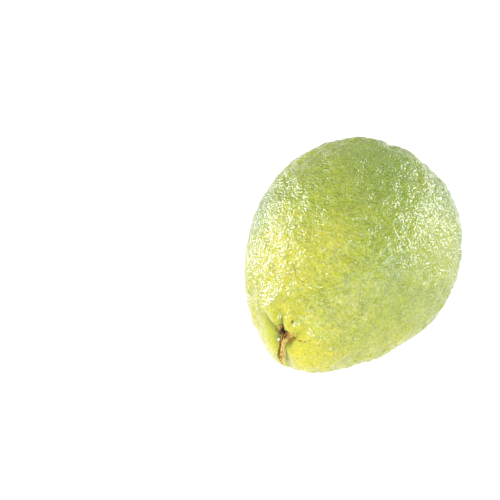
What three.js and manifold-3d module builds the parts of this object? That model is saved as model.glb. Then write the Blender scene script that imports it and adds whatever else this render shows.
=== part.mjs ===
// A ripe guava, picked and lying on its side. Millimetres, +Z up.
// The fruit lies along Y: the narrow stem end points to -Y and dips towards the table,
// the broad blossom end points to +Y. The origin is the middle of its resting spot.
import * as THREE from "three";
import { mergeVertices } from "three/addons/utils/BufferGeometryUtils.js";
import Module from "manifold-3d";

// Driving dimensions of the fruit, in millimetres and degrees.
const LENGTH = 102; // from the stem end to the blossom end, before its relief
const WIDTH = 81; // across the widest part
const TILT = 8; // how far the stem end dips below level
const REST_HEIGHT = 41.7; // the fruit's middle above the table
const REST_SPOT = [0.8, 8.5]; // the resting spot's middle, from under the fruit's middle
const GAP = 0.3; // clearance between the fruit and what is set into it

// The pear shape: how its radius changes from the blossom end (x = 1) to the stem end (x = -1).
const TAPER = 0.27; // broader at the blossom end
const FULLNESS = -0.035; // slimmer at both ends
const SHOULDER = 0.105; // holds the width past the middle, then closes quickly
const OVAL = [-0.025, -0.006]; // the section is a little taller than wide
const THREE_SIDED = [0.007, 0.018]; // and very slightly three-sided

// The stem end. Angles are seen from the stem end, counterclockwise from +X, in degrees.
// Each crease: angle, turn per mm outwards, depth, width of its shoulder, radius where it ends.
const CREASES = [
  { angle: 98, turn: 0.3, depth: 3.2, shoulder: 1.9, reach: 15 },
  { angle: 143, turn: 2.2, depth: 2.8, shoulder: 2.3, reach: 17 },
  { angle: 37, turn: 0.2, depth: 2.0, shoulder: 1.9, reach: 14 },
  { angle: -93, turn: -0.1, depth: 3.0, shoulder: 2.2, reach: 22 },
];
const CREASE_START = 8; // radius at which a crease has its stated angle
// The lobes that swell between the creases: middle, spread and height.
const LOBES = [
  { at: [3.2, 7.8], spread: 2.8, height: 2.3 },
  { at: [-4.5, 8.5], spread: 3.2, height: 1.5 },
  { at: [-6.5, -13.0], spread: 6.5, height: 1.7 },
  { at: [6.0, -15.0], spread: 8.0, height: 2.2 },
];
// The pit that the stalk sat in: a small round hole with arms that run out into the creases.
const PIT_RADIUS = 2.5;
const PIT_DEPTH = 3.8;
const PIT_SHOULDER = 1.5;
const PIT_ARMS = [
  { angle: 138, length: 3.0, halfWidth: 10 },
  { angle: 119, length: 2.6, halfWidth: 13 },
  { angle: 100, length: 3.1, halfWidth: 11 },
  { angle: 70, length: 1.7, halfWidth: 20 },
  { angle: 33, length: 2.6, halfWidth: 22 },
  { angle: -103, length: 12.5, halfWidth: 9.5 },
];

// The blossom end: a shallow dimple inside a low collar.
const DIMPLE_DEPTH = 2.2;
const DIMPLE_RADIUS = 7.5;
const COLLAR_HEIGHT = 0.7;
const COLLAR_RADIUS = 12;

// The uneven skin, as layers of waves: wavelength, height, number of waves and stretch along Y.
const RELIEF = [
  { wavelength: 36, height: 0.42, waves: 9, stretch: 1.0, seed: 4.71 },
  { wavelength: 15, height: 0.22, waves: 14, stretch: 1.2, seed: 7.71 },
  { wavelength: 8, height: 0.16, waves: 20, stretch: 1.2, seed: 9.71 },
];

// The calyx: five dried sepals round a small cup.
const SEPALS = 5;
const CUP_RADIUS = 5.0;
const CUP_RIM_HEIGHT = 1.3;
const SEPAL_LENGTH = 4.4;
const SEPAL_THICKNESS = 0.9;
const SEPAL_LIFT = 1.2;
const STYLE_RADIUS = 1.1;
const STYLE_HEIGHT = 1.3;

// The stalk's torn end: how much of the pit it fills, and its thickness.
const STALK_FILL = 0.88;
const STALK_THICKNESS = 1.9;
const FIBRE_SPACING = 1.5;
const FIBRE_HEIGHT = 0.22;

// Mesh: columns round the fruit, and bands of rows that end at these angles from the blossom end.
const COLUMNS = 90;
const ROW_BANDS = [
  { to: 0.3, rows: 7 },
  { to: 2.2, rows: 30 },
  { to: 2.72, rows: 11 },
  { to: Math.PI, rows: 15 },
];

const GOLDEN_ANGLE = Math.PI * (3 - Math.sqrt(5));
const { sin, cos, hypot, exp, abs, max } = Math;
const rad = THREE.MathUtils.degToRad;
const smoothstep = THREE.MathUtils.smoothstep;

// The smallest turn from angle b to angle a.
const turnBetween = (a, b) => THREE.MathUtils.euclideanModulo(a - b + Math.PI, 2 * Math.PI) - Math.PI;

// The fruit's radius about its long axis, at an angle from the blossom end and an angle round it.
function bodyRadius(theta, phi) {
  const x = cos(theta);
  const pear = 1 + TAPER * x + FULLNESS * (x * x - 0.2) + SHOULDER * x * (x * x - 0.6);
  const oval = OVAL[0] * cos(2 * phi) + OVAL[1] * sin(2 * phi);
  const sided = (THREE_SIDED[0] * cos(3 * phi) + THREE_SIDED[1] * sin(3 * phi)) * sin(theta) ** 2;
  return (WIDTH / 2) * sin(theta) * pear * (1 + oval + sided);
}

// A layer of uneven skin: plane waves whose directions are spread evenly, summed to unit strength.
function waveSum(point, { wavelength, waves, stretch, seed }) {
  let sum = 0;
  for (let i = 0; i < waves; i++) {
    const along = 1 - (2 * i + 1) / waves;
    const across = Math.sqrt(1 - along * along);
    const turn = GOLDEN_ANGLE * i + seed;
    const k = ((2 * Math.PI) / wavelength) * (1 + 0.25 * sin(7 * i + seed));
    const travel =
      point.x * across * cos(turn) + (point.y * along) / stretch + point.z * across * sin(turn);
    sum += sin(k * travel + 2.4 * i * i + seed);
  }
  return sum * Math.sqrt(2 / waves);
}

const skinRelief = (point) =>
  RELIEF.reduce((sum, layer) => sum + layer.height * waveSum(point, layer), 0);

// The outline of the pit, as a radius at each angle round the stem end.
function pitEdge(phi) {
  return PIT_ARMS.reduce(
    (r, arm) => r + arm.length * exp(-((turnBetween(phi, rad(arm.angle)) / rad(arm.halfWidth)) ** 2)),
    PIT_RADIUS,
  );
}

// How deep one crease is at a point: a sharp valley with round shoulders that fades outwards.
function creaseDepth(rho, phi, { angle, turn, depth, shoulder, reach }) {
  const off = turnBetween(phi, rad(angle + turn * (rho - CREASE_START)));
  const valley = exp(-abs(rho * sin(off)) / (shoulder * (0.6 + 0.05 * rho)));
  return depth * valley * (1 - smoothstep(rho, 0.35 * reach, reach)) * smoothstep(cos(off), 0, 0.4);
}

// The stem end's own relief: lobes stand out, and the deepest of the creases and the pit goes in.
function stemRelief(rho, phi) {
  const u = rho * cos(phi);
  const v = rho * sin(phi);
  let swell = 0;
  for (const { at, spread, height } of LOBES)
    swell += height * exp(-((u - at[0]) ** 2 + (v - at[1]) ** 2) / (2 * spread ** 2));
  const beyond = max(0, rho - pitEdge(phi));
  const pit = PIT_DEPTH * exp(-beyond / PIT_SHOULDER) * (1 - 0.55 * smoothstep(rho, 4, 16));
  let hollow = pit ** 4;
  for (const crease of CREASES) hollow += creaseDepth(rho, phi, crease) ** 4;
  return swell - hollow ** 0.25;
}

const blossomRelief = (rho) =>
  COLLAR_HEIGHT * exp(-(((rho - COLLAR_RADIUS) / 5) ** 2)) -
  DIMPLE_DEPTH * exp(-((rho / DIMPLE_RADIUS) ** 2));

// A point of the skin, in the fruit's own frame.
function skinPoint(theta, phi) {
  const x = cos(theta);
  const rho = bodyRadius(theta, phi);
  const point = new THREE.Vector3(rho * cos(phi), (LENGTH / 2) * x, rho * sin(phi));
  const outward = new THREE.Vector3(
    (sin(theta) * cos(phi)) / WIDTH,
    x / LENGTH,
    (sin(theta) * sin(phi)) / WIDTH,
  ).normalize();
  const calm = 0.25 + 0.75 * smoothstep(x, -0.97, -0.8);
  const ends = x < 0 ? stemRelief(rho, phi) : blossomRelief(rho);
  return point.addScaledVector(outward, skinRelief(point) * calm + ends);
}

// The angle from an end's pole at which the body reaches a given radius.
function angleAtRadius(rho, phi, atStem) {
  const radius = (a) => bodyRadius(atStem ? Math.PI - a : a, phi);
  let angle = (2 * rho) / WIDTH;
  for (let i = 0; i < 8; i++) angle *= rho / radius(angle);
  return angle;
}

// A point of the skin at a radius from the long axis, near one end.
function skinAtRadius(rho, phi, atStem) {
  const angle = rho > 0 ? angleAtRadius(rho, phi, atStem) : 0;
  return skinPoint(atStem ? Math.PI - angle : angle, phi);
}

// A closed surface of rings of points, with one point at each pole.
function closedRings(rings, columns, firstPole, lastPole) {
  const vertices = [firstPole, ...rings.flat(), lastPole];
  const last = vertices.length - 1;
  const at = (ring, column) => 1 + ring * columns + (column % columns);
  const faces = [];
  for (let j = 0; j < columns; j++) {
    faces.push(0, at(0, j + 1), at(0, j));
    faces.push(last, at(rings.length - 1, j), at(rings.length - 1, j + 1));
    for (let i = 0; i + 1 < rings.length; i++) {
      faces.push(at(i, j), at(i, j + 1), at(i + 1, j));
      faces.push(at(i + 1, j), at(i, j + 1), at(i + 1, j + 1));
    }
  }
  return new THREE.BufferGeometry().setFromPoints(vertices).setIndex(faces);
}

const columnAngles = (columns) =>
  Array.from({ length: columns }, (_, j) => (2 * Math.PI * j) / columns);

// A closed plate near one end: its top and its underside are heights above the skin, along the axis.
function endPlate({ atStem, columns, ringCount, edge, top, under }) {
  const axis = new THREE.Vector3(0, atStem ? -1 : 1, 0);
  const point = (share, phi, height) => {
    const rho = share * edge(phi);
    return skinAtRadius(rho, phi, atStem).addScaledVector(axis, height(rho, phi, share));
  };
  const shares = Array.from({ length: ringCount }, (_, i) => (i + 1) / ringCount);
  const angles = columnAngles(columns);
  const upper = shares.map((share) => angles.map((phi) => point(share, phi, top)));
  const lower = shares.map((share) => angles.map((phi) => point(share, phi, under))).reverse();
  const plate = closedRings([...upper, ...lower], columns, point(0, 0, top), point(0, 0, under));
  return atStem ? turnedOver(plate) : plate;
}

// The same surface with its faces turned round.
function turnedOver(geometry) {
  const index = geometry.index.array;
  for (let i = 0; i < index.length; i += 3) [index[i + 1], index[i + 2]] = [index[i + 2], index[i + 1]];
  return geometry;
}

// The whole skin as one closed surface, its rows closest together at the stem end.
function skinGeometry() {
  const thetas = [];
  let from = 0;
  for (const { to, rows } of ROW_BANDS) {
    for (let i = 1; i <= rows; i++) thetas.push(from + ((to - from) * i) / rows);
    from = to;
  }
  thetas.pop();
  const angles = columnAngles(COLUMNS);
  const rings = thetas.map((theta) => angles.map((phi) => skinPoint(theta, phi)));
  return closedRings(rings, COLUMNS, skinPoint(0, 0), skinPoint(Math.PI, 0));
}

const wasm = await Module();
wasm.setup();

function solidOf(geometry) {
  const bare = new THREE.BufferGeometry()
    .setAttribute("position", geometry.getAttribute("position"))
    .setIndex(geometry.index);
  const merged = mergeVertices(bare, 1e-4);
  return new wasm.Manifold(
    new wasm.Mesh({
      numProp: 3,
      vertProperties: merged.attributes.position.array,
      triVerts: new Uint32Array(merged.index.array),
    }),
  );
}

function geometryOf(solid) {
  const { vertProperties, triVerts } = solid.getMesh();
  return new THREE.BufferGeometry()
    .setAttribute("position", new THREE.BufferAttribute(vertProperties, 3))
    .setIndex(new THREE.BufferAttribute(triVerts, 1));
}

// The fruit, with what lies below the table cut away to leave its resting spot.
function fruitGeometry(lying) {
  const slab = new THREE.BoxGeometry(2 * WIDTH, 2 * LENGTH, WIDTH);
  slab.translate(0, 0, -WIDTH / 2).applyMatrix4(lying.matrix.clone().invert());
  return geometryOf(solidOf(skinGeometry()).subtract(solidOf(slab)));
}

// The torn end of the stalk: corky fibres that fill the bottom of the pit and its arms.
function stalkGeometry() {
  return endPlate({
    atStem: true,
    columns: 72,
    ringCount: 7,
    edge: (phi) => STALK_FILL * pitEdge(phi) - GAP,
    top: (rho, phi, share) =>
      GAP + STALK_THICKNESS * (1 - 0.55 * share * share) +
      FIBRE_HEIGHT * sin((2 * Math.PI * rho * cos(phi)) / FIBRE_SPACING) * (1 - share),
    under: () => GAP,
  });
}

// How far an angle is from the middle of the nearest sepal: 0 there, 1 halfway to the next.
const offSepal = (phi) => abs(turnBetween(phi * SEPALS, Math.PI / 2)) / Math.PI;

// The calyx: a small cup with the dried style in it, and sepals that lift away from the skin.
function calyxGeometry() {
  const tip = (phi) => (1 - offSepal(phi) ** 1.4) ** 0.9;
  const top = (rho) => {
    const rim = CUP_RIM_HEIGHT * exp(-(((rho - CUP_RADIUS) / 1.6) ** 2));
    const style = STYLE_HEIGHT * exp(-((rho / STYLE_RADIUS) ** 2));
    const lift = SEPAL_LIFT * max(0, (rho - CUP_RADIUS) / SEPAL_LENGTH) ** 1.5;
    return GAP + SEPAL_THICKNESS + rim + style + lift;
  };
  return endPlate({
    atStem: false,
    columns: 60,
    ringCount: 9,
    edge: (phi) => CUP_RADIUS + 0.6 + SEPAL_LENGTH * tip(phi),
    top,
    under: (rho) => (rho < CUP_RADIUS ? GAP : max(GAP, top(rho) - SEPAL_THICKNESS)),
  });
}

function namedMesh(name, geometry, color, roughness) {
  const mesh = new THREE.Mesh(
    geometry,
    new THREE.MeshStandardMaterial({ color, roughness, metalness: 0 }),
  );
  mesh.name = name;
  return mesh;
}

// The pose in which the fruit lies: turned so that its stem end dips, then lifted off its resting spot.
const lying = new THREE.Group();
lying.rotation.x = rad(TILT);
lying.position.set(-REST_SPOT[0], -REST_SPOT[1], REST_HEIGHT);
lying.updateMatrix();

lying.add(
  namedMesh("guava_fruit", fruitGeometry(lying), "#b9cb5c", 0.4),
  namedMesh("stalk_end", stalkGeometry(), "#8a5a2b", 0.85),
  namedMesh("calyx", calyxGeometry(), "#6b5334", 0.9),
);

const guava = new THREE.Group();
guava.name = "guava";
guava.add(lying);

export default guava;
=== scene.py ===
# %% [markdown]
# # A whole guava in Blender
# The part is one ripe guava, picked and laid on its side. It has three pieces: the fruit, the torn
# end of its stalk in a pit at the narrow end, and the dried calyx at the broad end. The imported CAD
# model gives their places and sizes. Here each one is made again with a finer surface, from the
# same formulas, and gets the finish that the real thing has.

# %% Load the frame
import math

import bpy
import numpy as np
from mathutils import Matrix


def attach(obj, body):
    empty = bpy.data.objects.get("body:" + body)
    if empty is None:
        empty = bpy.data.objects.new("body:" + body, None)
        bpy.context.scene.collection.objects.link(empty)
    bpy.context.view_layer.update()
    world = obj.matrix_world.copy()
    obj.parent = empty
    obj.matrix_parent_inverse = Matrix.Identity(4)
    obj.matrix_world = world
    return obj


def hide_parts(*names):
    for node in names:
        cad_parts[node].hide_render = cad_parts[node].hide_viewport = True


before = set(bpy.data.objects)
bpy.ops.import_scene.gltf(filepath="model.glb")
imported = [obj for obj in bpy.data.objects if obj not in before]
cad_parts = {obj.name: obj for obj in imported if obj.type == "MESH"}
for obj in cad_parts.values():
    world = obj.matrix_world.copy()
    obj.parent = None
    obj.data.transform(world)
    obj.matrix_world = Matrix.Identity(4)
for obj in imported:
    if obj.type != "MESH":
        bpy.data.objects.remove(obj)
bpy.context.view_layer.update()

MM = 0.001
print("CAD pieces:", sorted(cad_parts))

# %% [markdown]
# ## Colours and nodes
# Colours are easy to choose as sRGB hex values, but a shader works with linear light, so one
# function turns them round. Another adds a shader node with its settings and its links, which
# keeps each material below short enough to read.

# %% Colour
WHITE = "#FFFFFF"


def colour(hex_value):
    """Linear RGBA of an sRGB hex colour: c / 12.92 when dark, else ((c + 0.055) / 1.055) ** 2.4."""
    channels = [int(hex_value[i:i + 2], 16) / 255 for i in (1, 3, 5)]
    linear = [c / 12.92 if c <= 0.04045 else ((c + 0.055) / 1.055) ** 2.4 for c in channels]
    return (*linear, 1.0)


print("middle grey in linear light:", round(colour("#808080")[0], 3))

# %% Nodes and materials
def per_metre(size_mm):
    """The scale that makes a pattern repeat every size_mm on coordinates in metres."""
    return 1 / (size_mm * MM)


def add_node(tree, kind, inputs=None, stops=None, **settings):
    """Add a node: settings are its properties, inputs are values or sockets to link.

    The stops of a colour ramp are pairs of a place from 0 to 1 and a hex colour.
    """
    made = tree.nodes.new(kind)
    for name, value in settings.items():
        setattr(made, name, value)
    for name, value in (inputs or {}).items():
        if isinstance(value, bpy.types.NodeSocket):
            tree.links.new(value, made.inputs[name])
        else:
            made.inputs[name].default_value = value
    if stops:
        ramp = made.color_ramp
        while len(ramp.elements) < len(stops):
            ramp.elements.new(0.5)
        for element, (place, hex_value) in zip(ramp.elements, stops):
            element.position = place
            element.color = colour(hex_value)
    return made


def new_material(name):
    """An empty material with its node tree, and the Principled shader that ends it."""
    made = bpy.data.materials.new(name)
    made.use_nodes = True
    tree = made.node_tree
    tree.nodes.clear()
    shader = add_node(tree, "ShaderNodeBsdfPrincipled")
    add_node(tree, "ShaderNodeOutputMaterial", {"Surface": shader.outputs["BSDF"]})
    return made, tree, shader


print("scale of a pattern that repeats every 2 mm:", round(per_metre(2)))

# %% [markdown]
# ## Closed shapes
# Every piece here is made of grids of points that close on themselves round their columns, with one
# more point at each end. Whole arrays give all the points at once. The faces have to point
# outwards, and the sign of the volume that they enclose tells whether they do.

# %% Closed grids and pieces
def closed_form(rings, first_pole, last_pole):
    """Vertices and faces of rings of points, shaped (rings, columns, 3), with a point at each end."""
    count, columns = rings.shape[:2]
    vertices = np.vstack([first_pole[None], rings.reshape(-1, 3), last_pole[None]])
    number = 1 + np.arange(count * columns).reshape(count, columns)
    turned = np.roll(number, -1, axis=1)
    quads = np.stack([number[:-1], turned[:-1], turned[1:], number[1:]], -1).reshape(-1, 4)
    last = np.full(columns, len(vertices) - 1)
    caps = np.vstack([
        np.stack([0 * last, turned[0], number[0]], -1),
        np.stack([last, number[-1], turned[-1]], -1),
    ])
    return vertices, quads.tolist() + caps.tolist()


def volume_sign(vertices, faces):
    """+1 if the faces point outwards: the sum of p0 . (p1 x p2) over a fan of every face."""
    total = 0.0
    for size in (3, 4):
        picked = np.array([f for f in faces if len(f) == size], dtype=int).reshape(-1, size)
        for k in range(1, size - 1):
            a, b, c = (vertices[picked[:, i]] for i in (0, k, k + 1))
            total += np.einsum("ij,ij->", a, np.cross(b, c))
    return 1 if total > 0 else -1


def add_piece(name, forms, material, attributes=None):
    """One smooth object from several closed forms, in millimetres, at the origin of the frame."""
    vertices, faces, start = [], [], 0
    for points, form_faces in forms:
        outward = volume_sign(points - points.mean(0), form_faces) > 0
        faces += [[start + i for i in (f if outward else f[::-1])] for f in form_faces]
        vertices.append(points)
        start += len(points)
    mesh = bpy.data.meshes.new(name)
    mesh.from_pydata((np.vstack(vertices) * MM).tolist(), [], faces)
    mesh.shade_smooth()
    for label, values in (attributes or {}).items():
        layer = mesh.attributes.new(label, "FLOAT", "POINT")
        layer.data.foreach_set("value", np.ascontiguousarray(values, dtype=np.float32))
    mesh.materials.append(material)
    made = bpy.data.objects.new(name, mesh)
    bpy.context.scene.collection.objects.link(made)
    print(f"{name}: {len(mesh.vertices)} vertices, {sum(len(f) - 2 for f in faces)} triangles")
    return made


square = np.array([[(1, 0, 0), (0, 1, 0), (-1, 0, 0), (0, -1, 0)]])
octahedron = closed_form(square, np.array([0, 0, -1]), np.array([0, 0, 1]))
print("an octahedron has", len(octahedron[1]), "faces and the volume sign", volume_sign(*octahedron))

# %% [markdown]
# ## The pear shape
# A guava of this kind is broadest past its middle and narrows to the stalk. Its outline could be
# traced, but a formula keeps it smooth from every side: an ellipsoid whose radius is multiplied by
# a short polynomial of the place along the fruit, and by a gentle wave round it, so that the
# section is a little taller than wide and very slightly three-sided.

# %% Driving sizes of the fruit, in millimetres and degrees
LENGTH = 102
WIDTH = 81
TILT = 8
REST_HEIGHT = 41.7
REST_SPOT = (0.8, 8.5)
TAPER, FULLNESS, SHOULDER = 0.27, -0.035, 0.105
OVAL = (-0.025, -0.006)
THREE_SIDED = (0.007, 0.018)


def body_radius(theta, phi):
    """Radius about the long axis: half width x sin(theta) x the pear polynomial x the section's wave."""
    x = np.cos(theta)
    pear = 1 + TAPER * x + FULLNESS * (x**2 - 0.2) + SHOULDER * x * (x**2 - 0.6)
    oval = OVAL[0] * np.cos(2 * phi) + OVAL[1] * np.sin(2 * phi)
    sided = THREE_SIDED[0] * np.cos(3 * phi) + THREE_SIDED[1] * np.sin(3 * phi)
    return WIDTH / 2 * np.sin(theta) * pear * (1 + oval + sided * np.sin(theta) ** 2)


def lay_down(points):
    """From the fruit's own frame to the part's: turned by TILT about X, then lifted off its spot."""
    c, s = math.cos(math.radians(TILT)), math.sin(math.radians(TILT))
    x, y, z = np.moveaxis(points, -1, 0)
    return np.stack([x - REST_SPOT[0], c * y - s * z - REST_SPOT[1], s * y + c * z + REST_HEIGHT], -1)


print("widest radius in mm:", round(float(body_radius(np.linspace(0, 3, 200), 0.0).max()), 1))

# %% [markdown]
# ## The uneven skin
# Guava skin is never a clean curve: broad swellings carry lumps, and the lumps carry grain. Each
# layer here is a sum of plane waves whose directions are spread evenly over a sphere by the golden
# angle. It needs no random numbers, has no seam or pole, and one wavelength says how coarse it is.

# %% Layers of relief
COARSE_RELIEF = (
    dict(wavelength=36, height=0.42, waves=9, stretch=1.0, seed=4.71),
    dict(wavelength=15, height=0.22, waves=14, stretch=1.2, seed=7.71),
    dict(wavelength=8, height=0.16, waves=20, stretch=1.2, seed=9.71),
)
FINE_RELIEF = (
    dict(wavelength=5.0, height=0.25, waves=36, stretch=1.15, seed=2.3),
    dict(wavelength=2.6, height=0.11, waves=48, stretch=1.15, seed=6.1),
)
GOLDEN_ANGLE = math.pi * (3 - math.sqrt(5))


def wave_sum(points, wavelength, height, waves, stretch, seed):
    """Height x sqrt(2 / waves) x the sum of sin(k . p + phase), k pointing along a golden spiral."""
    total = np.zeros(points.shape[:-1])
    for i in range(waves):
        along = 1 - (2 * i + 1) / waves
        across = math.sqrt(1 - along**2)
        turn = GOLDEN_ANGLE * i + seed
        k = 2 * math.pi / wavelength * (1 + 0.25 * math.sin(7 * i + seed))
        direction = np.array([across * math.cos(turn), along / stretch, across * math.sin(turn)])
        total += np.sin(k * (points @ direction) + 2.4 * i * i + seed)
    return height * math.sqrt(2 / waves) * total


def smoothstep(value, low, high):
    """0 below low, 1 above high, and 3t^2 - 2t^3 between them."""
    t = np.clip((value - low) / (high - low), 0, 1)
    return t * t * (3 - 2 * t)


print("relief wavelengths in mm:", [r["wavelength"] for r in COARSE_RELIEF + FINE_RELIEF])

# %% [markdown]
# ## The stem end
# Where the stalk was torn out, the skin rolls over into a pit, and four creases run out from it
# between swollen lobes. A crease is a valley that is sharp at the bottom and round at the
# shoulders, which is what exp(-distance) gives. The pit is the same fall along a curve with arms.
# The deepest of them wins at each point: the fourth root of summed fourth powers is a soft maximum.

# %% Creases
CREASES = (
    dict(angle=98, turn=0.3, depth=3.2, shoulder=1.9, reach=15),
    dict(angle=143, turn=2.2, depth=2.8, shoulder=2.3, reach=17),
    dict(angle=37, turn=0.2, depth=2.0, shoulder=1.9, reach=14),
    dict(angle=-93, turn=-0.1, depth=3.0, shoulder=2.2, reach=22),
)
CREASE_START = 8


def turn_between(a, b):
    """The smallest signed angle from b to a, in radians."""
    return (a - b + math.pi) % (2 * math.pi) - math.pi


def crease_depth(rho, phi, angle, turn, depth, shoulder, reach):
    """Depth x exp(-distance from the crease / shoulder), fading out at reach and behind the middle."""
    off = turn_between(phi, np.radians(angle + turn * (rho - CREASE_START)))
    valley = np.exp(-np.abs(rho * np.sin(off)) / (shoulder * (0.6 + 0.05 * rho)))
    fade = 1 - smoothstep(rho, 0.35 * reach, reach)
    return depth * valley * fade * smoothstep(np.cos(off), 0, 0.4)


print("creases at these degrees round the stalk:", [crease["angle"] for crease in CREASES])

# %% The pit
PIT_RADIUS, PIT_DEPTH, PIT_SHOULDER = 2.5, 3.8, 1.5
PIT_ARMS = (
    dict(angle=138, length=3.0, half_width=10),
    dict(angle=119, length=2.6, half_width=13),
    dict(angle=100, length=3.1, half_width=11),
    dict(angle=70, length=1.7, half_width=20),
    dict(angle=33, length=2.6, half_width=22),
    dict(angle=-103, length=12.5, half_width=9.5),
)


def pit_edge(phi):
    """Radius of the pit's outline: a circle plus a bell-shaped arm at each arm's angle."""
    edge = PIT_RADIUS + 0 * phi
    for arm in PIT_ARMS:
        off = turn_between(phi, math.radians(arm["angle"])) / math.radians(arm["half_width"])
        edge = edge + arm["length"] * np.exp(-off**2)
    return edge


def hollow_depth(rho, phi):
    """Soft maximum of the pit's and the creases' depths: the fourth root of summed fourth powers."""
    beyond = np.maximum(0, rho - pit_edge(phi))
    pit = PIT_DEPTH * np.exp(-beyond / PIT_SHOULDER) * (1 - 0.55 * smoothstep(rho, 4, 16))
    return (pit**4 + sum(crease_depth(rho, phi, **c) ** 4 for c in CREASES)) ** 0.25


print("pit reaches in mm:", round(float(pit_edge(np.radians(PIT_ARMS[-1]["angle"]))), 1))

# %% Lobes, dimple and collar
LOBES = (
    dict(at=(3.2, 7.8), spread=2.8, height=2.3),
    dict(at=(-4.5, 8.5), spread=3.2, height=1.5),
    dict(at=(-6.5, -13.0), spread=6.5, height=1.7),
    dict(at=(6.0, -15.0), spread=8.0, height=2.2),
)
DIMPLE_DEPTH, DIMPLE_RADIUS = 2.2, 7.5
COLLAR_HEIGHT, COLLAR_RADIUS, COLLAR_WIDTH = 0.7, 12, 5


def stem_relief(rho, phi):
    """Bell-shaped lobes less the hollows."""
    u, v = rho * np.cos(phi), rho * np.sin(phi)
    swell = sum(
        lobe["height"]
        * np.exp(-((u - lobe["at"][0]) ** 2 + (v - lobe["at"][1]) ** 2) / (2 * lobe["spread"] ** 2))
        for lobe in LOBES
    )
    return swell - hollow_depth(rho, phi)


def blossom_relief(rho):
    """A low collar ring round a bell-shaped dimple."""
    collar = COLLAR_HEIGHT * np.exp(-(((rho - COLLAR_RADIUS) / COLLAR_WIDTH) ** 2))
    return collar - DIMPLE_DEPTH * np.exp(-((rho / DIMPLE_RADIUS) ** 2))


print("depth of the dimple's middle in mm:", round(-float(blossom_relief(0.0)), 2))

# %% [markdown]
# ## The fruit's surface
# The skin is one closed grid: rows run from the blossom end to the stem end, and columns go round.
# A subdivided sphere would spend its faces evenly, but the pit and the creases are small and sharp,
# so the rows crowd together at the stem end. Relief down to about two millimetres across is
# geometry, and the finer pebbles are left to the material's bump. The attributes tell the material
# where the fruit is riper, with a few patches of painted light and shade, where painted shade goes
# in the hollows, where the blemishes are, and where the skin is smooth.

# %% Points of the skin
FINE_HEIGHT = 0.30
ANGLE_STEPS = 8


def relief(points, layers):
    """All the layers' waves together."""
    return sum(wave_sum(points, **layer) for layer in layers)


def skin_points(theta, phi, with_fine=False):
    """Body point + ellipsoid normal x (calmed relief + the end's own relief), in the fruit's frame."""
    x = np.cos(theta) + 0 * phi
    rho = body_radius(theta, phi)
    body = np.stack([rho * np.cos(phi), LENGTH / 2 * x, rho * np.sin(phi)], -1)
    tilted = np.stack([
        np.sin(theta) * np.cos(phi) / WIDTH, x / LENGTH, np.sin(theta) * np.sin(phi) / WIDTH,
    ], -1)
    normal = tilted / np.linalg.norm(tilted, axis=-1, keepdims=True)
    height = relief(body, COARSE_RELIEF) * (0.25 + 0.75 * smoothstep(x, -0.97, -0.8))
    if with_fine:
        grain = np.tanh(1.2 * relief(body, FINE_RELIEF) / FINE_HEIGHT) * FINE_HEIGHT
        height += grain * (0.3 + 0.7 * smoothstep(x, -0.96, -0.7))
    height += np.where(x < 0, stem_relief(rho, phi), blossom_relief(rho))
    return body + normal * height[..., None]


def on_end(rho, phi, height, at_stem):
    """A point at a radius and angle about the axis, a height above the skin along the axis.

    The place along the fruit is an angle that is scaled by wanted radius / its radius, repeatedly.
    """
    wanted = np.maximum(rho, 1e-6)
    angle = 2 * wanted / WIDTH + 0 * phi
    for _ in range(ANGLE_STEPS):
        angle = angle * wanted / body_radius(math.pi - angle if at_stem else angle, phi)
    points = skin_points(math.pi - angle if at_stem else angle, phi)
    points[..., 1] += -height if at_stem else height
    return points


print("a point 10 mm off the axis in mm:", on_end(np.array(10.0), np.array(0.0), 0, True).round(1))

# %% The skin as one closed grid
# Each band of rows runs up to an angle from the blossom end, and has so many rows.
ROW_BANDS = ((0.3, 20), (2.2, 122), (2.72, 38), (math.pi, 39))
COLUMNS = 440
edges = np.array([0.0, *(to for to, _ in ROW_BANDS)])
steps = [np.linspace(a, b, n, endpoint=False) for a, b, (_, n) in zip(edges, edges[1:], ROW_BANDS)]
rows = np.concatenate(steps)[1:, None]
around = np.linspace(0, 2 * math.pi, COLUMNS, endpoint=False)[None, :]
poles = skin_points(np.array([0.0, math.pi]), np.zeros(2))
skin_rings = lay_down(skin_points(rows, around, with_fine=True))
# The flat spot: nothing of the skin is lower than the table.
skin_rings[..., 2] = np.maximum(skin_rings[..., 2], 0)
skin_form = closed_form(skin_rings, *lay_down(poles))
print("rows and columns of the skin:", skin_rings.shape[:2])
print("height of the fruit in mm:", round(float(np.ptp(skin_rings[..., 2])), 1))

# %% Specks and a scar near the stalk
SPECKS = (
    dict(at=(3.7, 9.4), size=(0.34, 0.50)),
    dict(at=(12.7, -1.0), size=(0.26, 0.26)),
    dict(at=(5.0, -6.7), size=(0.24, 0.24)),
    dict(at=(7.9, -4.5), size=(0.20, 0.20)),
    dict(at=(3.6, -9.1), size=(0.25, 0.25)),
    dict(at=(-8.8, 7.2), size=(0.70, 0.30)),
    dict(at=(8.3, 1.3), size=(0.36, 0.22)),
    dict(at=(9.9, 1.5), size=(0.55, 0.10)),
)
SCAR = dict(at=(6.7, 1.6), size=(0.80, 0.34))


def spot(u, v, at, size):
    """1 inside an ellipse and 0 outside it, with a soft edge."""
    reach = np.hypot((u - at[0]) / size[0], (v - at[1]) / size[1])
    return 1 - smoothstep(reach, 0.7, 1.3)


print("specks near the stalk:", len(SPECKS))

# %% Ripeness with painted light and shade, painted shade in the hollows, and marks at each point of the skin
def with_poles(values, first, last):
    """Ring values in the order of closed_form's vertices."""
    return np.concatenate([[first], values.ravel(), [last]])


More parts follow.
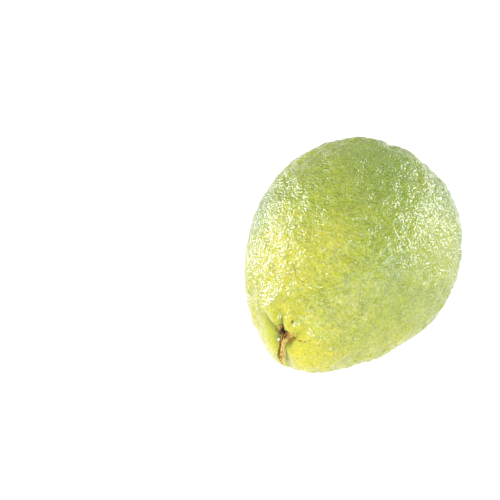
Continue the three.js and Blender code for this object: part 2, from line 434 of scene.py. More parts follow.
RIPENS_TOWARDS = (-0.0045, -0.0100, -0.0060)
# Bells added to the ripeness: most shift the hue, and three are painted light and shade, marked below.
RIPENESS_LIGHT_SHADE_PATCHES = (
    dict(at=(-10, -36, 18), spread=13, strength=0.10),
    # Painted light: a brighter, yellower patch on the upper side towards the stalk.
    dict(at=(-2, -25, 30), spread=11, strength=0.44),
    dict(at=(-13, -43, 9), spread=6, strength=0.18),
    dict(at=(26, -31, 3), spread=10, strength=-0.14),
    dict(at=(26, -24, 20), spread=8, strength=-0.12),
    dict(at=(29, 22, 27), spread=10, strength=0.14),
    # Painted shade: a darker, greener patch on the upper left, where the side light falls.
    dict(at=(-28, -12, 26), spread=9, strength=-0.28),
    dict(at=(37, 5, 14), spread=18, strength=0.24),
    dict(at=(8, -48, -4), spread=6, strength=0.18),
    # Painted shade: a darker, greener patch beside the stalk, on its left.
    dict(at=(-6, -50, -1), spread=4, strength=-0.40),
    dict(at=(-5, -46, 10), spread=3.5, strength=-0.22),
    dict(at=(14, -40, 16), spread=8, strength=-0.12),
    dict(at=(2, 0, 40), spread=18, strength=-0.10),
)
RIPENESS_WAVES = dict(wavelength=26, height=0.08, waves=12, stretch=1.2, seed=3.3)


def ripeness_light_shade_at(points):
    """How far a point lies towards the riper side, plus broad waves and bells, some painted light and
    shade.
    """
    ripe = points @ np.array(RIPENS_TOWARDS) + wave_sum(points, **RIPENESS_WAVES)
    for patch in RIPENESS_LIGHT_SHADE_PATCHES:
        away = np.linalg.norm(points - np.array(patch["at"]), axis=-1)
        ripe += patch["strength"] * np.exp(-0.5 * (away / patch["spread"]) ** 2)
    return ripe


rho = body_radius(rows, around)
near_stem = np.cos(rows) + 0 * around < 0
u, v = rho * np.cos(around), rho * np.sin(around)
# Painted shade: a darker green in the pit and the creases, stronger the deeper they are.
hollow = np.where(near_stem, hollow_depth(rho, around) / PIT_DEPTH, 0)
specks = np.where(near_stem, np.max([spot(u, v, **s) for s in SPECKS], axis=0), 0)
scar = np.where(near_stem, spot(u, v, **SCAR), 0)
ripeness_light_shade = ripeness_light_shade_at(skin_points(rows, around))
skin_attributes = {
    "ripeness_light_shade": with_poles(ripeness_light_shade, ripeness_light_shade[0, 0], ripeness_light_shade[-1, 0]),
    "hollow": with_poles(hollow, 0, 1),
    "specks": with_poles(specks, 0, 0),
    "scar": with_poles(scar, 0, 0),
    "smoothness": with_poles(1 - smoothstep(rho, 6, 20), 0, 1) * with_poles(near_stem, 0, 1),
}
print("least and most ripe:", round(float(ripeness_light_shade.min()), 2), round(float(ripeness_light_shade.max()), 2))

# %% [markdown]
# ## Guava skin
# The skin is a thin waxy cuticle over green tissue. It ripens from green to yellow, first at the
# stem end and underneath, and stays greener on top. A few patches of its colour are painted light
# and shade, and the pit and the creases are painted a darker green as shade. Light enters the skin
# a little way, so it has some subsurface scattering. The wax is a clear coat with an index of 1.5
# over skin with hardly any gloss of its own. It gives a broken gloss, because each pebble catches
# its own glint. Pebbles about a millimetre across are made as bump.

# %% The skin's patterns, with sizes in millimetres
SKIN_NOISE = dict(
    drift=dict(size=9, detail=2.0, roughness=0.6),
    blotches=dict(size=3, detail=2.0, roughness=0.6),
    flecks=dict(size=0.9, detail=2.0, roughness=0.6),
    clouds=dict(size=6.5, detail=4.0, roughness=0.6),
    grooves=dict(size=1.1, detail=2.0, roughness=0.6),
    pores=dict(size=0.5, detail=2.0, roughness=0.6),
    grain=dict(size=0.95, detail=1.0, roughness=0.5),
    fine_grain=dict(size=0.62, detail=1.0, roughness=0.5),
    patches=dict(size=7.0, detail=1.0, roughness=0.5),
    wax=dict(size=3.0, detail=2.0, roughness=0.5),
)


def skin_patterns(tree, place):
    """The skin's noise patterns, and the attributes kept at its points, by name."""
    patterns = {}
    for name, noise in SKIN_NOISE.items():
        patterns[name] = add_node(tree, "ShaderNodeTexNoise", {
            "Vector": place, "Scale": per_metre(noise["size"]), "Detail": noise["detail"],
            "Roughness": noise["roughness"]}).outputs["Fac"]
    for name in skin_attributes:
        patterns[name] = add_node(tree, "ShaderNodeAttribute", attribute_name=name).outputs["Fac"]
    return patterns


print("sizes of the skin's patterns in mm:", sorted(noise["size"] for noise in SKIN_NOISE.values()))

# %% The skin's colours
GREEN = "#7F9E12"
MIDDLE = "#B3BE12"
YELLOW = "#DBD10A"
# A darker green: mottling, and painted shade in the pit and the creases.
DARK_GREEN_MOTTLE_AND_SHADE = "#6A8430"
PALE = "#D2D690"
SPECK_BROWN = "#4A2E1C"
SCAR_BROWN = "#A56C35"
RIPENESS_NOISE = dict(drift=0.4, blotches=0.8, flecks=1.1)
RIPENESS_RANGE = (0.60, 1.75)
RIPE_TONES = ((0.0, GREEN), (0.5, MIDDLE), (1.0, YELLOW))
# A tint starts where its pattern passes low, and has its full share from high. The ones that fade
# are fainter where the skin is smooth, round the stalk.
SKIN_TINTS = (
    dict(pattern="clouds", low=0.50, high=0.74, share=0.40, tint=DARK_GREEN_MOTTLE_AND_SHADE, fades=False),
    dict(pattern="grooves", low=0.42, high=0.72, share=0.60, tint=DARK_GREEN_MOTTLE_AND_SHADE, fades=True),
    dict(pattern="pores", low=0.50, high=0.64, share=0.72, tint=PALE, fades=True),
    # Painted shade in the pit and the creases.
    dict(pattern="hollow", low=0.10, high=0.60, share=0.65, tint=DARK_GREEN_MOTTLE_AND_SHADE, fades=False),
    dict(pattern="scar", low=0.0, high=1.0, share=1.0, tint=SCAR_BROWN, fades=False),
    dict(pattern="specks", low=0.0, high=1.0, share=1.0, tint=SPECK_BROWN, fades=False),
)
TINTS_WHERE_SMOOTH = 0.5


def ripe_colour_with_light_shade(tree, patterns):
    """Ripeness, painted light and shade included, + the sum of strength x noise, then a green-to-yellow
    ramp over its range.
    """
    uneven = patterns["ripeness_light_shade"]
    for name, strength in RIPENESS_NOISE.items():
        uneven = add_node(tree, "ShaderNodeMath", {0: patterns[name], 1: strength, 2: uneven},
                          operation="MULTIPLY_ADD").outputs[0]
    share = add_node(tree, "ShaderNodeMapRange", {
        "Value": uneven, "From Min": RIPENESS_RANGE[0],
        "From Max": RIPENESS_RANGE[1]}).outputs["Result"]
    return add_node(tree, "ShaderNodeValToRGB", {"Fac": share}, stops=RIPE_TONES).outputs["Color"]


def tinted(tree, patterns, below):
    """The colour below, mixed with each tint in turn by the share that its pattern gives."""
    marked = add_node(tree, "ShaderNodeMapRange", {
        "Value": patterns["smoothness"], "To Min": 1.0,
        "To Max": TINTS_WHERE_SMOOTH}).outputs["Result"]
    for layer in SKIN_TINTS:
        share = add_node(tree, "ShaderNodeMapRange", {
            "Value": patterns[layer["pattern"]], "From Min": layer["low"],
            "From Max": layer["high"], "To Max": layer["share"]}).outputs["Result"]
        if layer["fades"]:
            share = add_node(tree, "ShaderNodeMath", {0: share, 1: marked},
                             operation="MULTIPLY").outputs[0]
        below = add_node(tree, "ShaderNodeMix", {0: share, 6: below, 7: colour(layer["tint"])},
                         data_type="RGBA").outputs[2]
    return below


print("tints over the ripe colour:", [layer["pattern"] for layer in SKIN_TINTS])

# %% Pebbles, in millimetres
PEBBLE_SIZE = 1.2
PEBBLE_HEIGHT = 0.85
WANDER_SIZE, WANDER_REACH = 2.2, 1.1
PEBBLES_WHERE_SMOOTH = 0.3


def pebbled(tree, patterns, place):
    """Bump by grain + 0.2 x fine grain - 0.6 x the distance in rounded cells that noise pulls about."""
    wander = add_node(tree, "ShaderNodeTexNoise", {
        "Vector": place, "Scale": per_metre(WANDER_SIZE), "Detail": 2.0}).outputs["Color"]
    pulled = add_node(tree, "ShaderNodeVectorMath", {
        0: wander, 1: (WANDER_REACH * MM,) * 3, 2: place}, operation="MULTIPLY_ADD").outputs["Vector"]
    cells = add_node(tree, "ShaderNodeTexVoronoi", {
        "Vector": pulled, "Scale": per_metre(PEBBLE_SIZE), "Smoothness": 0.6},
        feature="SMOOTH_F1").outputs["Distance"]
    grain = add_node(tree, "ShaderNodeMath", {
        0: patterns["fine_grain"], 1: 0.2, 2: patterns["grain"]},
        operation="MULTIPLY_ADD").outputs[0]
    height = add_node(tree, "ShaderNodeMath", {0: cells, 1: -0.6, 2: grain},
                      operation="MULTIPLY_ADD").outputs[0]
    patchy = add_node(tree, "ShaderNodeMapRange", {
        "Value": patterns["patches"], "From Min": 0.35, "From Max": 0.60,
        "To Min": 0.65}).outputs["Result"]
    calmed = add_node(tree, "ShaderNodeMapRange", {
        "Value": patterns["smoothness"], "To Min": 1.0,
        "To Max": PEBBLES_WHERE_SMOOTH}).outputs["Result"]
    strength = add_node(tree, "ShaderNodeMath", {0: patchy, 1: calmed},
                        operation="MULTIPLY").outputs[0]
    return add_node(tree, "ShaderNodeBump", {
        "Height": height, "Strength": strength, "Distance": PEBBLE_HEIGHT * MM}).outputs["Normal"]


print("pebbles are", PEBBLE_SIZE, "mm across")

# %% The skin's material, and the fruit
WAX_ROUGHNESS = (0.20, 0.34)
WAXY_SKIN = {
    "IOR": 1.44, "Specular IOR Level": 0.15,
    "Subsurface Weight": 0.15, "Subsurface Scale": 0.002, "Subsurface Radius": (1.0, 0.9, 0.35),
    "Coat Weight": 0.75, "Coat Roughness": 0.10, "Coat IOR": 1.5,
}


def guava_skin():
    """Waxy pebbled skin: ripeness from green to yellow, mottled, with specks and a broken gloss."""
    made, tree, shader = new_material("guava_waxy_skin")
    place = add_node(tree, "ShaderNodeTexCoord").outputs["Object"]
    patterns = skin_patterns(tree, place)
    gloss = add_node(tree, "ShaderNodeMapRange", {
        "Value": patterns["wax"], "From Min": 0.3, "From Max": 0.7,
        "To Min": WAX_ROUGHNESS[0], "To Max": WAX_ROUGHNESS[1]}).outputs["Result"]
    normal = pebbled(tree, patterns, place)
    tree.links.new(tinted(tree, patterns, ripe_colour_with_light_shade(tree, patterns)), shader.inputs["Base Color"])
    tree.links.new(gloss, shader.inputs["Roughness"])
    tree.links.new(normal, shader.inputs["Normal"])
    tree.links.new(normal, shader.inputs["Coat Normal"])
    for name, value in WAXY_SKIN.items():
        shader.inputs[name].default_value = value
    return made


guava = add_piece("guava_skin", [skin_form], guava_skin(), skin_attributes)
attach(guava, "root")
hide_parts("guava_fruit")

# %% [markdown]
# ## The stalk's torn end
# When a guava is pulled off, its stalk tears and leaves a plug of corky fibres in the pit. A flat
# brown disc would look like paint. This is a plate that fills the pit's outline, with strands laid
# over it. Each strand is a thin tube along a quadratic curve, which runs from one arm of the pit to
# another and bends towards the pit's waist.

# %% A plate near one end
def plate_places(columns, ring_count, edge):
    """Radius and angle of a plate's points: rings out over its top, then back underneath."""
    phi = np.linspace(0, 2 * math.pi, columns, endpoint=False)[None, :]
    out = np.arange(1, ring_count + 1) / ring_count
    return np.concatenate([out, out[::-1]])[:, None] * edge(phi), phi


def end_plate(at_stem, columns, ring_count, edge, top, sunk):
    """A closed plate near one end: rings of shares of its edge, on top and then sunk in the skin."""
    phi = np.linspace(0, 2 * math.pi, columns, endpoint=False)[None, :]
    share = (np.arange(1, ring_count + 1) / ring_count)[:, None]
    rho = share * edge(phi)
    upper = on_end(rho, phi, top(rho, phi, share), at_stem)
    lower = on_end(rho, phi, -sunk, at_stem)[::-1]
    zero = np.zeros((1, 1))
    first = on_end(zero, zero, top(zero, zero, zero), at_stem)[0, 0]
    last = on_end(zero, zero, -sunk, at_stem)[0, 0]
    return closed_form(lay_down(np.vstack([upper, lower])), lay_down(first), lay_down(last))


print("a plate of 3 rings has rows of radii", plate_places(1, 3, np.ones_like)[0].ravel().round(2))

# %% The plate in the pit
STALK_COLUMNS, STALK_RINGS = 180, 30
STALK_FILL = 1.12
STALK_THICKNESS = 1.7
STALK_SUNK, STALK_EDGE_SUNK = 0.4, 0.05


def stalk_edge(phi):
    """The pit's outline, a little wider, with ragged small waves."""
    return STALK_FILL * pit_edge(phi) * (1 + 0.03 * np.sin(17 * phi) + 0.02 * np.sin(41 * phi + 1))


def stalk_top(rho, phi, share):
    """(Thickness + fibrous ridges down the pit) x (1 - share to the fourth), less the edge's depth."""
    u, v = rho * np.cos(phi), rho * np.sin(phi)
    bent = u + 0.35 * np.sin(0.9 * v) + 0.15 * np.sin(2.3 * v + 1)
    ridges = 0.22 * np.sin(2 * math.pi * bent / 1.1) + 0.12 * np.sin(2 * math.pi * bent / 0.47 + v)
    return (STALK_THICKNESS + ridges) * (1 - share**4) - STALK_EDGE_SUNK


plate = end_plate(True, STALK_COLUMNS, STALK_RINGS, stalk_edge, stalk_top, STALK_SUNK)
print("points in the stalk's plate:", len(plate[0]))

# %% Thin tubes
TUBE_SIDES = 7


def tubes(paths, radii, outward, sides=TUBE_SIDES):
    """Closed tubes along paths, (tubes, points, 3): rings of radius x (cos a side + sin a lift)."""
    along = np.gradient(paths, axis=1)
    side = np.cross(along, outward)
    side /= np.linalg.norm(side, axis=-1, keepdims=True)
    lift = np.cross(side, along)
    lift /= np.linalg.norm(lift, axis=-1, keepdims=True)
    a = np.linspace(0, 2 * math.pi, sides, endpoint=False)[:, None]
    rings = paths[:, :, None] + radii[..., None, None] * (
        np.cos(a) * side[:, :, None] + np.sin(a) * lift[:, :, None])
    return [closed_form(r, p[0], p[-1]) for r, p in zip(rings, paths)]


print("sides of a tube:", TUBE_SIDES)

# %% Strands across the pit
STRANDS = 46
STRAND_POINTS = 26
STRAND_STARTS = np.array([
    (-4.0, 4.1), (-0.9, 5.9), (3.9, 2.9), (-2.6, 5.0), (2.2, 2.2), (-1.6, 5.2), (0.2, 3.6),
])
STRAND_ENDS = np.array([(-0.9, -5.0), (-1.7, -8.5), (-2.7, -12.5), (-1.2, -6.5), (-2.3, -10.5)])
WAIST = np.array([-0.5, -0.4])
draw = np.random.default_rng(11)
strand_number = np.arange(STRANDS)
start = STRAND_STARTS[strand_number % len(STRAND_STARTS)] + draw.normal(0, 0.4, (STRANDS, 2))
waist = WAIST + draw.normal(0, (0.75, 0.9), (STRANDS, 2))
end = STRAND_ENDS[strand_number % len(STRAND_ENDS)] + draw.normal(0, 0.35, (STRANDS, 2))
t = np.linspace(0, 1, STRAND_POINTS)[None, :, None]
flat = (1 - t) ** 2 * start[:, None] + 2 * t * (1 - t) * waist[:, None] + t**2 * end[:, None]
strand_rho = np.hypot(flat[..., 0], flat[..., 1])
strand_phi = np.arctan2(flat[..., 1], flat[..., 0])
strand_share = np.clip(strand_rho / stalk_edge(strand_phi), 0, 1)
height = stalk_top(strand_rho, strand_phi, strand_share) + draw.uniform(-0.10, 0.22, (STRANDS, 1))
paths = lay_down(on_end(strand_rho, strand_phi, height, True))
radii = draw.uniform(0.13, 0.30, (STRANDS, 1)) * (1 - 0.7 * np.abs(2 * t[..., 0] - 1) ** 3)
outward = lay_down(np.array([0.0, -1.0, 0.0])) - lay_down(np.zeros(3))
strands = tubes(paths, radii, outward)
print("strands over the stalk:", len(strands))

# %% How pale each place of the stalk is
POLE_TONE = 0.3
PLATE_DARKER = 0.14
STRAND_VARIETY = 0.45


def paleness(u, v):
    """0.67 less a dark bell at the deepest place; the arms are paler, the long one most on one side."""
    deepest = np.exp(-0.5 * (((u + 0.9) / 1.2) ** 2 + ((v - 3.2) / 2.4) ** 2))
    aside = np.clip((u - 0.3 - 0.24 * v) / 1.2, -1, 1)
    short_arms = (0.36 * smoothstep(-u, 2, 4) + 0.22 * smoothstep(u, 1, 3)) * smoothstep(v, 0, 3)
    long_arm = (0.19 + 0.28 * aside) * smoothstep(-v, 1, 6) - 0.14 * smoothstep(-v, 8, 11)
    return 0.67 - 0.75 * deepest + short_arms + long_arm


plate_rho, plate_phi = plate_places(STALK_COLUMNS, STALK_RINGS, stalk_edge)
plate_tones = paleness(plate_rho * np.cos(plate_phi), plate_rho * np.sin(plate_phi)) - PLATE_DARKER
strand_tones = draw.uniform(-STRAND_VARIETY, STRAND_VARIETY, (STRANDS, 1))
strand_tones = strand_tones + paleness(flat[..., 0], flat[..., 1])
stalk_tones = [with_poles(plate_tones, POLE_TONE, POLE_TONE)]
for tone in strand_tones:
    stalk_tones.append(with_poles(np.repeat(tone[:, None], TUBE_SIDES, 1), tone[0], tone[-1]))
print("palest and darkest tone of the plate:", plate_tones.max().round(2), plate_tones.min().round(2))

# %% [markdown]
# ## Torn stalk fibre
# Dry plant fibre is rough and dull. It is nearly black where the tear is deep, chestnut on its
# sides and tan where it stands out, and no two strands are quite alike. A tone kept at each point
# says how pale that place is, and noise stretched along the fibres breaks it up.

# %% The stalk's material, and its end
FIBRE_TONES = (
    (0.0, "#1C100B"), (0.22, "#5A3A20"), (0.45, "#956C2C"), (0.70, "#C99C40"), (1.0, "#E8D680"),
)


def stalk_fibre():
    """Dull torn fibre: noise stretched along the strands picks from near black to tan."""
    made, tree, shader = new_material("torn_stalk_fibre")
    place = add_node(tree, "ShaderNodeTexCoord").outputs["Object"]
    stretched = add_node(tree, "ShaderNodeMapping", {"Vector": place, "Scale": (1.0, 0.6, 0.28)})
    fibres = add_node(tree, "ShaderNodeTexNoise", {
        "Vector": stretched.outputs["Vector"], "Scale": per_metre(0.8), "Detail": 4.0,
        "Roughness": 0.65}).outputs["Fac"]
    patches = add_node(tree, "ShaderNodeTexNoise", {
        "Vector": place, "Scale": per_metre(2.6), "Detail": 2.0}).outputs["Fac"]
    strand = add_node(tree, "ShaderNodeAttribute", attribute_name="tone").outputs["Fac"]
    uneven = add_node(tree, "ShaderNodeMath", {0: fibres, 1: 0.7, 2: patches},
                      operation="MULTIPLY_ADD").outputs[0]
    both = add_node(tree, "ShaderNodeMath", {0: strand, 1: 0.8, 2: uneven},
                    operation="MULTIPLY_ADD").outputs[0]
    tone = add_node(tree, "ShaderNodeMapRange", {
        "Value": both, "From Min": 0.80, "From Max": 1.55}).outputs["Result"]
    ramp = add_node(tree, "ShaderNodeValToRGB", {"Fac": tone}, stops=FIBRE_TONES)
    tree.links.new(ramp.outputs["Color"], shader.inputs["Base Color"])
    bumped = add_node(tree, "ShaderNodeBump", {
        "Height": fibres, "Strength": 0.9, "Distance": 0.12 * MM})
    tree.links.new(bumped.outputs["Normal"], shader.inputs["Normal"])
    shader.inputs["Roughness"].default_value = 0.8
    shader.inputs["Specular IOR Level"].default_value = 0.3
    return made


stalk_attributes = {"tone": np.concatenate(stalk_tones)}
stalk = add_piece("stalk_torn_end", [plate, *strands], stalk_fibre(), stalk_attributes)
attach(stalk, "root")
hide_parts("stalk_end")

# %% [markdown]
# ## The dried calyx
# At the broad end the flower's calyx stays on the fruit: five sepals round a small cup, with the
# dried style and a ring of stamens inside. Each sepal is a flat tube, so it is closed and has a real
# thickness: its section is a wide ellipse that bends across, and it is carried along a line that
# leaves the cup's rim, lies over the skin and curls up at the tip.

# %% The cup
CUP_RADIUS = 5.0
CUP_LIP = 1.0
CUP_SUNK = 0.1
CUP_COLUMNS, CUP_RINGS = 200, 24


def veins(phi, rho):
    """Streaks that run outwards: sin(41 phi + bend) and sin(67 phi), where bend = sin(1.4 rho)."""
    return 0.6 * np.sin(41 * phi + np.sin(1.4 * rho)) + 0.4 * np.sin(67 * phi + 2)


def cup_top(rho, phi, share):
    """0.55 + a bell-shaped rim at the cup's radius + small wrinkles - 0.5 x share to the eighth."""
    rim = 1.35 * np.exp(-(((rho - CUP_RADIUS) / 0.9) ** 2))
    wrinkle = 0.10 * np.sin(23 * phi + 3 * np.sin(2 * phi)) * share
    return 0.55 + rim + wrinkle - 0.5 * share**8


def cup_edge(phi):
    """A circle a lip's width outside the rim."""
    return CUP_RADIUS + CUP_LIP + 0 * phi


cup = end_plate(False, CUP_COLUMNS, CUP_RINGS, cup_edge, cup_top, CUP_SUNK)
cup_rho, cup_phi = plate_places(CUP_COLUMNS, CUP_RINGS, cup_edge)
# Dark on the floor of the cup and pale on its rim, with the same veins as the sepals.
cup_tones = 0.25 + 0.32 * smoothstep(cup_rho, 2.5, CUP_RADIUS) + 0.10 * veins(cup_phi, cup_rho)
print("points in the cup:", len(cup[0]))

# %% The sepals
SEPALS = 5
SEPAL_LENGTH = 4.8
SEPAL_HALF_WIDTH = 3.1
SEPAL_THICKNESS = 0.45
SEPAL_ROWS, SEPAL_COLUMNS = 36, 44


def sepal(number):
    """A thin elliptical section carried outwards: it narrows to a ragged tip that curls up.

    s runs from the cup to the tip, and a round the section. Half the width x cos a goes across, and
    half the thickness x sin a goes up, on a line that rises with s cubed and bends with across squared.
    """
    s = np.linspace(0, 1, SEPAL_ROWS)[:, None]
    a = np.linspace(0, 2 * math.pi, SEPAL_COLUMNS, endpoint=False)[None, :]
    wave = math.sin(2.7 * number + 0.6)
    rho = CUP_RADIUS - 0.4 + SEPAL_LENGTH * (1 + 0.10 * wave) * s
    ragged = 1 + s * (0.07 * np.sin(19 * s + 2 * number + a) + 0.05 * np.sin(43 * s - 3 * a))
    half_width = SEPAL_HALF_WIDTH * (1 + 0.12 * s) * (1 - s**1.7) ** 0.8 * ragged + 0.05
    across = half_width * np.cos(a) + 0.6 * wave * s**2
    centre = math.radians(90 / SEPALS + 360 / SEPALS * number) + 0.06 * wave
    phi = centre + across / rho
    middle = 1.05 + 0.55 * np.sin(math.pi * s) + (1.0 + 0.25 * wave) * s**3
    curl = (0.045 + 0.03 * wave) * (1 + 2.0 * s) * across**2
    ruffle = 0.16 * np.sin(5 * s * math.pi + 3 * np.cos(a) + number) * s
    thickness = SEPAL_THICKNESS / 2 * np.sin(a) * (1 - 0.5 * s)
    height = middle + curl + ruffle + thickness + 0.05 * veins(phi, rho)
    rings = on_end(rho / np.cos(across / rho), phi, height, False)
    dry = 0.50 - 0.34 * s**3 - 0.22 * np.abs(np.cos(a)) ** 8 + 0.16 * veins(phi, rho)
    form = closed_form(lay_down(rings), lay_down(rings[0].mean(0)), lay_down(rings[-1].mean(0)))
    return form, with_poles(dry, 0.5, 0.1)


sepals = [sepal(number) for number in range(SEPALS)]
print("sepals:", len(sepals), "with", len(sepals[0][0][0]), "points each")

# %% The stamens and the style
STAMENS = 60
STAMEN_POINTS = 7
STAMEN_RADIUS, STYLE_RADIUS = 0.11, 0.42
STAMEN_SIDES, STYLE_SIDES = 5, 9
STAMEN_TONE = 0.80


def stamen_tubes():
    """Thin hairs in a ring in the cup, leaning by t squared, and a thicker style in its middle."""
    draw = np.random.default_rng(5)
    t = np.linspace(0, 1, STAMEN_POINTS)[None, :]
    turn = np.linspace(0, 2 * math.pi, STAMENS, endpoint=False)[:, None]
    turn = turn + draw.normal(0, 0.12, (STAMENS, 1))
    foot = draw.uniform(2.4, 4.4, (STAMENS, 1))
    lean = draw.uniform(-1.6, 0.3, (STAMENS, 1))
    tall = draw.uniform(0.7, 1.7, (STAMENS, 1))
    rho = foot + lean * t**2
    phi = turn + draw.normal(0, 0.30, (STAMENS, 1)) * t**2
    hairs = on_end(rho, phi, 0.4 + tall * t, False)
    style = on_end(0.3 + 0.5 * t**2, 0.8 + 0 * t, 0.4 + 1.9 * t, False)
    side = np.array([1.0, 0.0, 0.2])
    hair_radii = np.full((STAMENS, STAMEN_POINTS), STAMEN_RADIUS) * (1 - 0.4 * t)
    style_radii = STYLE_RADIUS * (1 - 0.35 * t)
    hair_tubes = tubes(lay_down(hairs), hair_radii, side, STAMEN_SIDES)
    return hair_tubes + tubes(lay_down(style), style_radii, side, STYLE_SIDES)


stamens = stamen_tubes()
calyx_forms = [cup, *[form for form, _ in sepals], *stamens]
calyx_tones = [with_poles(cup_tones, POLE_TONE, POLE_TONE), *[tones for _, tones in sepals]]
calyx_tones += [np.full(len(points), STAMEN_TONE) for points, _ in stamens]
print("stamens and the style:", len(stamens), "tubes")

# %% [markdown]
# ## Dried sepal
# Dried sepals are brown and papery: darker at the tips and edges, with faint lengthwise veins,
# which the tone kept at each point gives. They scatter light evenly, so the shader is rough and dull.

# %% The calyx's material, and the calyx
SEPAL_TONES = ((0.38, "#2A1C14"), (0.62, "#574027"), (0.88, "#86693C"), (1.0, "#AF9560"))


def dried_sepal():
    """Dull brown papery tissue: the tone kept at each point, with fine mottling over it."""
    made, tree, shader = new_material("dried_sepal")
    place = add_node(tree, "ShaderNodeTexCoord").outputs["Object"]
    mottling = add_node(tree, "ShaderNodeTexNoise", {
        "Vector": place, "Scale": per_metre(0.9), "Detail": 5.0, "Roughness": 0.7}).outputs["Fac"]
    dry = add_node(tree, "ShaderNodeAttribute", attribute_name="tone").outputs["Fac"]
    tone = add_node(tree, "ShaderNodeMath", {0: mottling, 1: 0.7, 2: dry},
                    operation="MULTIPLY_ADD").outputs[0]
    ramp = add_node(tree, "ShaderNodeValToRGB", {"Fac": tone}, stops=SEPAL_TONES)
    tree.links.new(ramp.outputs["Color"], shader.inputs["Base Color"])
    wrinkles = add_node(tree, "ShaderNodeTexNoise", {
        "Vector": place, "Scale": per_metre(0.6), "Detail": 3.0}).outputs["Fac"]
    bumped = add_node(tree, "ShaderNodeBump", {
        "Height": wrinkles, "Strength": 0.8, "Distance": 0.12 * MM})
    tree.links.new(bumped.outputs["Normal"], shader.inputs["Normal"])
    shader.inputs["Roughness"].default_value = 0.85
    shader.inputs["Specular IOR Level"].default_value = 0.25
    return made


calyx_attributes = {"tone": np.concatenate(calyx_tones)}
calyx = add_piece("calyx_dried", calyx_forms, dried_sepal(), calyx_attributes)
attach(calyx, "root")
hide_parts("calyx")

# %% [markdown]
# ## Floor, light and camera
# The fruit lies on a white table that is lit from inside, so it has hardly any shadow. In a bright
# room, a wide box in front, to the left, gives even light, and a smaller one lights the right side.
# Wax shows its pebbles only where it reflects something bright, so four small boxes of slightly
# cooler light stand close by and are seen only as reflections. All the boxes are hidden from the
# camera, which looks down at the stem end.

# %% The floor
FLOOR_HALF = 5000
FLOOR_DROP = 0.05
TABLE_GREY = "#9C9C9C"
TABLE_GLOW = 0.93


def white_table():
    """Opal sheet: an even, dull surface that glows white from inside."""
    made, _, shader = new_material("opal_white_table")
    shader.inputs["Base Color"].default_value = colour(TABLE_GREY)
    shader.inputs["Roughness"].default_value = 0.7
    shader.inputs["Emission Color"].default_value = colour(WHITE)
    shader.inputs["Emission Strength"].default_value = TABLE_GLOW
    return made


corners = np.array([(-1, -1), (1, -1), (1, 1), (-1, 1)]) * FLOOR_HALF
floor_mesh = bpy.data.meshes.new("table_top")
floor_mesh.from_pydata([(x * MM, y * MM, -FLOOR_DROP * MM) for x, y in corners], [], [(0, 1, 2, 3)])
floor_mesh.materials.append(white_table())
floor = bpy.data.objects.new("table_top", floor_mesh)
bpy.context.scene.collection.objects.link(floor)
print("table is", 2 * FLOOR_HALF * MM, "m wide")

# %% The camera
CAMERA_AZIMUTH = 29.73
CAMERA_ELEVATION = 32
CAMERA_DISTANCE = 700
PIXELS_PER_MM = 2.55
FRAME_PIXELS = 500
FRUIT_PIXEL = (344.6, 262.9)
SENSOR = 36


def camera_axes(azimuth, elevation):
    """Right, up and back unit vectors of a camera that looks at the middle from that side."""
    a, e = math.radians(azimuth), math.radians(elevation)
    right = np.array([math.cos(a), math.sin(a), 0.0])
    back = np.array([math.sin(a) * math.cos(e), -math.cos(a) * math.cos(e), math.sin(e)])
    return right, np.cross(back, right), back


right, up, back = camera_axes(CAMERA_AZIMUTH, CAMERA_ELEVATION)
fruit_middle = lay_down(np.zeros(3))
aside = (FRUIT_PIXEL[0] - FRAME_PIXELS / 2) / PIXELS_PER_MM
above = (FRAME_PIXELS / 2 - FRUIT_PIXEL[1]) / PIXELS_PER_MM
eye = fruit_middle + back * CAMERA_DISTANCE - right * aside - up * above
camera_data = bpy.data.cameras.new("camera")
camera_data.sensor_width = SENSOR
camera_data.lens = SENSOR * PIXELS_PER_MM * CAMERA_DISTANCE / FRAME_PIXELS
camera_data.clip_start = 0.01
camera = bpy.data.objects.new("camera", camera_data)
camera.location = eye * MM
camera.rotation_euler = (math.radians(90 - CAMERA_ELEVATION), 0, math.radians(CAMERA_AZIMUTH))
bpy.context.scene.collection.objects.link(camera)
bpy.context.scene.camera = camera
print("lens in mm:", round(camera_data.lens, 1))

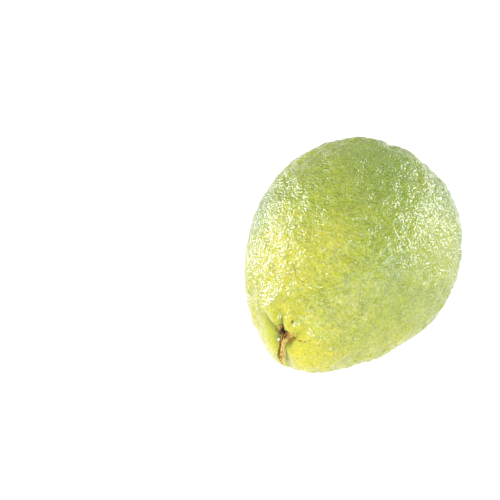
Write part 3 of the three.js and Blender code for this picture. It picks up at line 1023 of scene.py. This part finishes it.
# %% The light boxes
SOFT_BOXES = (
    dict(name="right_box", side=(0.91, 0.42, -0.18), distance=700, size=(140, 260), watts=1.4),
    dict(name="front_fill", side=(-0.66, 0.08, 0.75), distance=1000, size=(1700, 1500), watts=8.7),
)
GLINT_LIGHTS = (
    dict(name="left_glints", side=(-0.90, 0.40, -0.20), distance=260, size=(80, 165), watts=1.15),
    dict(name="right_glints", side=(0.91, 0.42, -0.18), distance=260, size=(70, 125), watts=0.55),
    dict(name="front_glints", side=(0.12, -0.50, 0.86), distance=260, size=(60, 60), watts=0.62),
    dict(name="low_right_glints", side=(0.80, -0.10, 0.52), distance=240, size=(60, 90), watts=0.40),
)
COOL_WHITE = "#DAE2FF"
BOX_CLEARANCE = 20


def soft_box(name, side, distance, size, watts):
    """An area light above the table, on a side given along the camera's axes, turned to the fruit."""
    data = bpy.data.lights.new(name, "AREA")
    data.shape = "RECTANGLE"
    data.size, data.size_y = size[0] * MM, size[1] * MM
    data.energy = watts
    towards = side[0] * right + side[1] * up + side[2] * back
    towards /= np.linalg.norm(towards)
    place = fruit_middle + towards * distance
    place[2] = max(place[2], size[1] / 2 + BOX_CLEARANCE)
    made = bpy.data.objects.new(name, data)
    made.location = place * MM
    made.visible_camera = False
    facing = place - fruit_middle
    down = math.acos(facing[2] / np.linalg.norm(facing))
    made.rotation_euler = (down, 0, math.atan2(facing[1], facing[0]) + math.pi / 2)
    bpy.context.scene.collection.objects.link(made)
    return made


for box in SOFT_BOXES:
    soft_box(**box)
for box in GLINT_LIGHTS:
    glints = soft_box(**box)
    glints.visible_diffuse = False
    glints.data.color = colour(COOL_WHITE)[:3]
print("soft boxes:", len(SOFT_BOXES), "boxes seen only as glints:", len(GLINT_LIGHTS))

# %% The bright room
ROOM_STRENGTH = 0.76
world = bpy.data.worlds.new("white_room")
world.use_nodes = True
background = world.node_tree.nodes["Background"]
background.inputs["Color"].default_value = colour(WHITE)
background.inputs["Strength"].default_value = ROOM_STRENGTH
bpy.context.scene.world = world
bpy.context.scene.view_settings.view_transform = "Standard"
print("strength of the room's light:", ROOM_STRENGTH)
